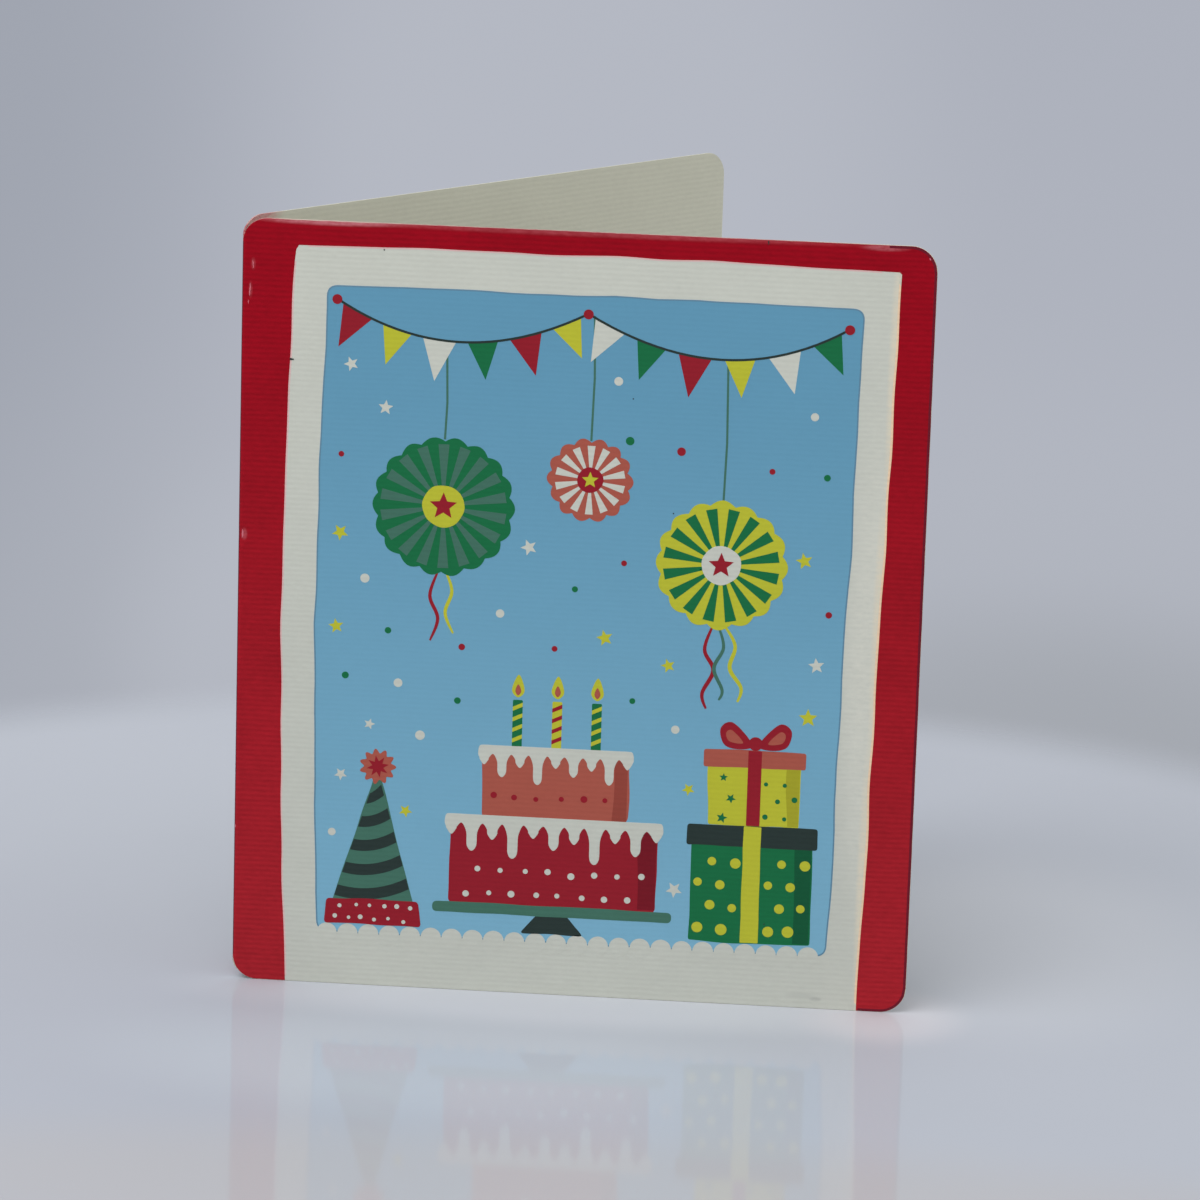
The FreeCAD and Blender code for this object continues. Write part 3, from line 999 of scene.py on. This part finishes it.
def printHat():
    middle, foot, half = hat["middle"], hat["foot"], hat["half"]
    tip = foot + hat["height"]
    coneFoot = foot + hat["band"] - 0.8
    coneHalf = half - 0.6
    cone = [(middle - coneHalf, coneFoot, 0.5), (middle + coneHalf, coneFoot, 0.5), (middle + 0.8, tip),
            (middle + 0.2, tip)]
    printCut("hatCone", cone, 0.8, (0.1, 7.0, 5.0), 4, "sage")

    def coneSide(part, way):
        return (middle + 0.5 * part + way * coneHalf * (1 - part) * 0.99, coneFoot + (tip - coneFoot) * part)

    stripes = []
    for number in range(hat["stripes"]):
        edges = []
        for part in (0.05 + number * 0.175, 0.13 + number * 0.175):
            left, right = coneSide(part, -1), coneSide(part + 0.07, 1)
            sag = (middle, (left[1] + right[1]) / 2 - 3.0 * (1 - part))
            edges.append(curveLine(left, sag, right, 12))
        stripes.append(edges[0] + edges[1][::-1])
    printShapes("hatStripes", stripes, 5, "pine")
    band = [(middle - half - 0.9, foot), (middle + half + 0.9, foot + 0.1),
            (middle + half + 0.3, foot + hat["band"]), (middle - half - 0.4, foot + hat["band"])]
    printCut("hatBand", band, 0.8, (0.15, 7.0, 6.0), 6, "crimson")
    printSpots("hatBandDots", "cream", 7, (middle, foot + 2.6), 6, 2, 2.7, 0.42, seed=4)
    tuft = roundLoop(middle + 0.5, tip + 0.9, lambda turn: 3.1 + 0.45 * cos(11 * turn), 110)
    printShapes("hatTuft", [tuft], 6, "coral")
    printShapes("hatTuftHeart", [starLoop(middle + 0.5, tip + 0.9, 2.2, 1.1, 8, 0.2)], 7, "crimson")


# Two wrapped boxes, one on the other
gifts = {
    "middle": 100.4,
    "foot": 12.4,
    "half": 11.6,
    "height": 23.5,
    "topHalf": 8.8,
    "topHeight": 15.0,
    "lid": 4.2,
    "bow": [                 # one side of it: name, points, printing, ink
        ("bowLoops", [(0.6, 1.2), (4.4, 5.4), (6.8, 4.2), (6.0, 1.0), (3.0, 0.2)], 5, "crimson"),
        ("bowHollows", [(2.4, 1.5), (4.6, 3.9), (5.7, 3.3), (5.0, 1.7)], 6, "coral"),
    ],
}


def printGifts():
    middle, foot, half, small = gifts["middle"], gifts["foot"], gifts["half"], gifts["topHalf"]
    lidTop = foot + gifts["height"]
    top = lidTop + gifts["topHeight"]
    printBlock("giftBox", middle, half, foot, lidTop - 1, 0.5, (0.2, 9.0, 8.0), 4, "green")
    shadeSide("giftBoxSide", middle + half - 0.1, foot + 0.4, lidTop - 3.0, 3.0, "moss")
    printSpots("giftDotsLeft", "yellow", 5, (middle - 6.7, foot + 9.4), 2, 4, 4.5, 1.0, seed=11)
    printSpots("giftDotsRight", "yellow", 5, (middle + 6.7, foot + 9.4), 2, 4, 4.5, 1.0, seed=12)
    printBlock("giftLid", middle, half + 1, lidTop - gifts["lid"], lidTop, 0.6, (0.15, 8.0, 9.0), 5, "pine")
    printBlock("giftRibbon", middle, 1.7, foot + 0.1, lidTop, 0.2, (0.08, 5.0, 1.5), 6, "yellow")
    printBlock("topBox", middle, small, lidTop, top - 1, 0.5, (0.2, 8.0, 12.0), 4, "yellow")
    shadeSide("topBoxSide", middle + small - 0.1, lidTop + 0.3, top - 2.4, 2.2, "ochre")
    printSpots("topBoxStars", "green", 5, (middle - 5.1, lidTop + 5.5), 1, 3, 3.9, 1.05, star=True, seed=3)
    printSpots("topBoxDots", "green", 5, (middle + 5.1, lidTop + 5.3), 2, 3, 3.4, 0.5, seed=5)
    printBlock("topLid", middle, small + 0.9, top - 3.4, top, 0.5, (0.12, 8.0, 13.0), 5, "coral")
    printShapes("topRibbon", [boxLoop(middle - 1.3, lidTop + 0.1, middle + 1.3, top, 0.2)], 6, "crimson")
    for name, points, printing, ink in gifts["bow"]:
        sides = [smoothLine([(middle + way * x, top + z) for x, z in points], closed=True) for way in (-1, 1)]
        printShapes(name, sides, printing, ink)
    printShapes("bowKnot", [discLoop(middle, top + 1.4, 1.35)], 6, "crimson")


# Pleated paper fans hanging from the bunting
fans = [
    {"name": "greenFan", "middle": (39.4, 96.0), "radius": 13.6, "ink": "green", "pleatInk": "sage",
     "hubInk": "yellow", "starInk": "crimson", "pleats": 18, "hangFrom": 128.0},
    {"name": "yellowFan", "middle": (92.6, 87.0), "radius": 12.6, "ink": "yellow", "pleatInk": "green",
     "hubInk": "cream", "starInk": "crimson", "pleats": 16, "hangFrom": 126.7},
    {"name": "coralFan", "middle": (67.2, 102.4), "radius": 8.2, "ink": "coral", "pleatInk": "cream",
     "hubInk": "crimson", "starInk": "yellow", "pleats": 14, "hangFrom": 134.0},
]


def printFans():
    tree = pleatTree()
    for fan in fans:
        (x, z), radius, name = fan["middle"], fan["radius"], fan["name"]
        pleats = fan["pleats"]
        rim = roundLoop(x, z, lambda turn: radius - 0.9 + 0.9 * abs(cos(pleats * turn / 2)), pleats * 8)
        thread = strokeLoop([(x, z + radius - 0.6), (x + 0.3, (z + fan["hangFrom"]) / 2 + 4),
                             (x, fan["hangFrom"])], 0.42)
        printShapes(name + "Thread", [thread], 3.5, "sage")
        printShapes(name, [handCut(rim, 0.15, 6.0, x)], 5, fan["ink"])
        values = {"Middle": (x, z, 0.0), "Pleats": pleats, "Radius": radius - 1.5, "Turn": 0.1}
        printFromTree(name + "Pleats", tree, values, 6, fan["pleatInk"])
        printShapes(name + "Hub", [handCut(discLoop(x, z, radius * 0.3), 0.1, 3.0, z)], 7, fan["hubInk"])
        printShapes(name + "Star", [starLoop(x, z, radius * 0.2, radius * 0.09)], 8, fan["starInk"])


# Paper streamers under the fans: ink, width, printing and points
streamers = [
    ("crimson", 0.8, 4, [(91.4, 75.2), (90.0, 70.4), (91.8, 66.4), (89.8, 61.8), (90.6, 58.8)]),
    ("sage", 0.7, 4.5, [(92.4, 75.4), (93.6, 71.0), (91.9, 66.8), (93.6, 62.6), (93.0, 60.6)]),
    ("yellow", 0.8, 4, [(93.6, 75.4), (95.8, 71.4), (94.9, 67.0), (97.2, 63.2), (96.6, 60.4)]),
    ("crimson", 0.7, 4, [(38.6, 83.2), (37.2, 78.4), (38.8, 74.0), (37.4, 69.6)]),
    ("yellow", 0.7, 4, [(40.2, 83.2), (41.4, 79.4), (40.2, 75.2), (41.8, 71.2)]),
]


def printStreamers():
    for number, (ink, width, printing, points) in enumerate(streamers):
        loop = strokeLoop(smoothLine(points), width, 0.5)
        printShapes(f"streamer_{number + 1}", [loop], printing, ink)


# Confetti in the open parts of the field, under the bunting
confetti = {
    "ground": [(18.8, 14.0), (113.5, 14.0), (114.5, 123.0), (104.0, 119.5), (92.0, 118.0), (78.0, 121.5),
               (66.0, 127.0), (54.0, 121.5), (41.0, 118.5), (29.0, 120.0), (18.8, 124.5)],
    "spacing": 9.6,
    "clearance": 2.6,        # to the nearest printed shape
    "kinds": [("creamDots", "cream", 10, 0.8, 0.8), ("yellowStars", "yellow", 5, 1.7, 0.75),
              ("crimsonDots", "crimson", 10, 0.7, 0.7), ("creamStars", "cream", 5, 1.5, 0.66),
              ("greenDots", "green", 10, 0.7, 0.7)],
    "seed": 14,
}


def printConfetti():
    tree = confettiTree()
    printedMesh = bpy.data.meshes.new("flatPicture")
    flatPicture.to_mesh(printedMesh)
    printed = addObject("flatPicture", printedMesh)
    ground = filledMesh("confettiGround", [confetti["ground"]])
    for number, (name, ink, corners, outer, inner) in enumerate(confetti["kinds"]):
        values = {"Printed": printed, "Clearance": confetti["clearance"], "Spacing": confetti["spacing"],
                  "Seed": confetti["seed"], "Corners": corners, "Outer Radius": outer,
                  "Inner Radius": inner, "First": number, "Every": len(confetti["kinds"])}
        printFromTree("confetti_" + name, tree, values, 4, ink, ground.copy())
    bpy.data.objects.remove(printed)


printCloth()
printBunting()
printCake()
printHat()
printGifts()
printFans()
printStreamers()
printConfetti()
print("picture printed")


def mixShaders(tree, factor, first, second):
    return addNode(tree, "ShaderNodeMixShader", {0: factor, 1: first, 2: second})


# The table
table = {
    "centre": (-0.0048, -0.0768),
    "radius": 0.25,
    "softEdge": 0.02,
    "colour": linear(180, 184, 193),
    "mirror": 0.13,
    # Painted light and shade on the table: brighter far off, darker to the front left, a painted pool of
    # light in front of the card's foot, the card's shadow on the right painted lighter, and further soft
    # lighter and darker patches
    "patches": [
        (linear(185, 189, 198), (-0.02, 0.14, 0), (0.24, 0.11, 1), 1.0),
        (linear(170, 173, 183), (-0.11, -0.12, 0), (0.13, 0.19, 1), 0.6),
        (linear(203, 206, 213), (0.0, -0.055, 0), (0.085, 0.02, 1), 0.7),
        (linear(192, 195, 202), (0.085, 0.0, 0), (0.055, 0.08, 1), 0.7),
        (linear(197, 204, 211), (-0.022, -0.093, 0), (0.080, 0.040, 1), 0.35),
        (linear(208, 206, 211), (0.061, -0.053, 0), (0.020, 0.022, 1), 0.6),
        (linear(182, 178, 177), (0.02, -0.168, 0), (0.22, 0.050, 1), 0.5),
    ],
}


def buildTable():
    radius, softEdge = table["radius"], table["softEdge"]
    disc = bmesh.new()
    bmesh.ops.create_circle(disc, cap_ends=True, segments=160, radius=radius + softEdge)
    bmesh.ops.translate(disc, verts=disc.verts, vec=(*table["centre"], -0.00002))
    mesh = bpy.data.meshes.new("tableTop")
    disc.to_mesh(mesh)
    disc.free()
    material = bpy.data.materials.new("glossyTable")
    material.use_nodes = True
    tree = material.node_tree
    tree.nodes.clear()
    place = addNode(tree, "ShaderNodeTexCoord").outputs["Object"]
    # painted reflections: soft uneven brightness over the table
    clouds = addNode(tree, "ShaderNodeTexNoise", {"Vector": place, "Scale": 7.0, "Detail": 3.0})
    factor = shadeFactor(tree, [(clouds, 0.05)])
    tone = addNode(tree, "ShaderNodeHueSaturation", {"Color": table["colour"], "Value": factor})
    shown = softPatches(tree, place, tone, table["patches"])
    matt = addNode(tree, "ShaderNodeBsdfDiffuse", {"Color": shown})
    shine = addNode(tree, "ShaderNodeBsdfGlossy", {"Roughness": 0.06})
    lacquer = mixShaders(tree, table["mirror"], matt, shine)
    away = addNode(tree, "ShaderNodeVectorMath", {0: place, 1: (*table["centre"], 0)}, operation="DISTANCE")
    fade = softStep(tree, away.outputs["Value"], radius - softEdge, radius + softEdge)
    whole = mixShaders(tree, fade, lacquer, addNode(tree, "ShaderNodeBsdfTransparent"))
    addNode(tree, "ShaderNodeOutputMaterial", {"Surface": whole})
    mesh.materials.append(material)
    top = addObject("tableTop", mesh)


# The room: a plain pale light for the card, and soft grey tones that the camera sees past the table, with
# painted light and shade in them: a lighter band just above the table's edge, soft lighter and darker
# patches, and a painted shadow low on the right
room = {
    "light": 0.64,
    "lightColour": (0.97, 0.985, 1.0, 1.0),
    "tones": [                                    # height of the view's direction, and the tone there
        (-0.60, linear(172, 176, 187)),
        (-0.262, linear(170, 174, 183)),
        (-0.222, linear(180, 184, 194)),
        (-0.19, linear(175, 179, 190)),
        (-0.125, linear(173, 177, 188)),
        (0.30, linear(172, 176, 187)),
    ],
    # painted light and shade: brighter near the top middle, darker to the left, brighter low on the left, and
    # a painted shadow low on the right
    "patches": [
        (linear(185, 189, 199), (-0.078, 0.98, -0.16), (0.08, 1, 0.10), 0.6),
        (linear(157, 162, 173), (-0.215, 0.97, -0.15), (0.10, 1, 0.17), 0.8),
        (linear(184, 188, 198), (-0.125, 0.97, -0.25), (0.04, 1, 0.045), 0.6),
        (linear(163, 167, 174), (0.01, 0.97, -0.27), (0.08, 1, 0.04), 0.8),
    ],
}


def buildRoom():
    world = bpy.data.worlds.new("paleRoom")
    world.use_nodes = True
    tree = world.node_tree
    tree.nodes.clear()
    direction = addNode(tree, "ShaderNodeTexCoord").outputs["Generated"]
    height = addNode(tree, "ShaderNodeSeparateXYZ", {0: direction}).outputs["Z"]
    rise = addNode(tree, "ShaderNodeMapRange", {"Value": height, "From Min": -1.0, "From Max": 1.0})
    ramp = addNode(tree, "ShaderNodeValToRGB", {"Fac": rise})
    ramp.color_ramp.interpolation = "B_SPLINE"
    stops = ramp.color_ramp.elements
    for number, (z, tone) in enumerate(room["tones"]):
        stop = stops[number] if number < 2 else stops.new(1.0)
        stop.position = (z + 1) / 2
        stop.color = tone
    shown = softPatches(tree, direction, ramp, room["patches"])
    seen = addNode(tree, "ShaderNodeBackground", {"Color": shown, "Strength": 1.0})
    light = addNode(tree, "ShaderNodeBackground", {
        "Color": room["lightColour"], "Strength": room["light"]})
    rays = addNode(tree, "ShaderNodeLightPath").outputs
    either = maths(tree, "MAXIMUM", rays["Is Camera Ray"], rays["Is Glossy Ray"])
    whole = mixShaders(tree, either, light, seen)
    addNode(tree, "ShaderNodeOutputWorld", {"Surface": whole})
    scene.world = world


# Soft lamps: place, size and power
lamps = {
    "windowSide": ((-0.44, -0.66, 1.25), 1.5, 14.8),
    "overhead": ((0.15, 0.1, 1.4), 0.9, 1.5),
}


def buildLamps():
    for name, (place, size, power) in lamps.items():
        lamp = bpy.data.lights.new(name, "AREA")
        lamp.shape = "DISK"
        lamp.size = size
        lamp.energy = power
        holder = addObject(name, lamp)
        holder.location = place
        holder.rotation_euler = (Vector((0, 0, 0.06)) - Vector(place)).to_track_quat("-Z", "Y").to_euler()


# The photograph's view
view = {
    "lens": 169.5,
    "azimuth": 4.231,
    "elevation": 13.896,
    "roll": 1.740,
    "target": (4.14, -50.207, 79.17),     # mm
    "distance": 1075.06,                  # mm
}


def buildCamera():
    camera = addObject("mainView", bpy.data.cameras.new("mainView"))
    camera.data.lens = view["lens"]
    camera.data.sensor_width = 36.0
    turned = Matrix.Translation(Vector(view["target"]) * mm)
    for angle, axis in ((view["azimuth"], "Z"), (90 - view["elevation"], "X"), (view["roll"], "Z")):
        turned = turned @ Matrix.Rotation(radians(angle), 4, axis)
    camera.matrix_world = turned @ Matrix.Translation((0, 0, view["distance"] * mm))
    camera.data.clip_start = 0.05
    camera.data.clip_end = 20.0
    scene.camera = camera


buildTable()
buildRoom()
buildLamps()
buildCamera()
scene.view_settings.view_transform = "Standard"
print("stage set")
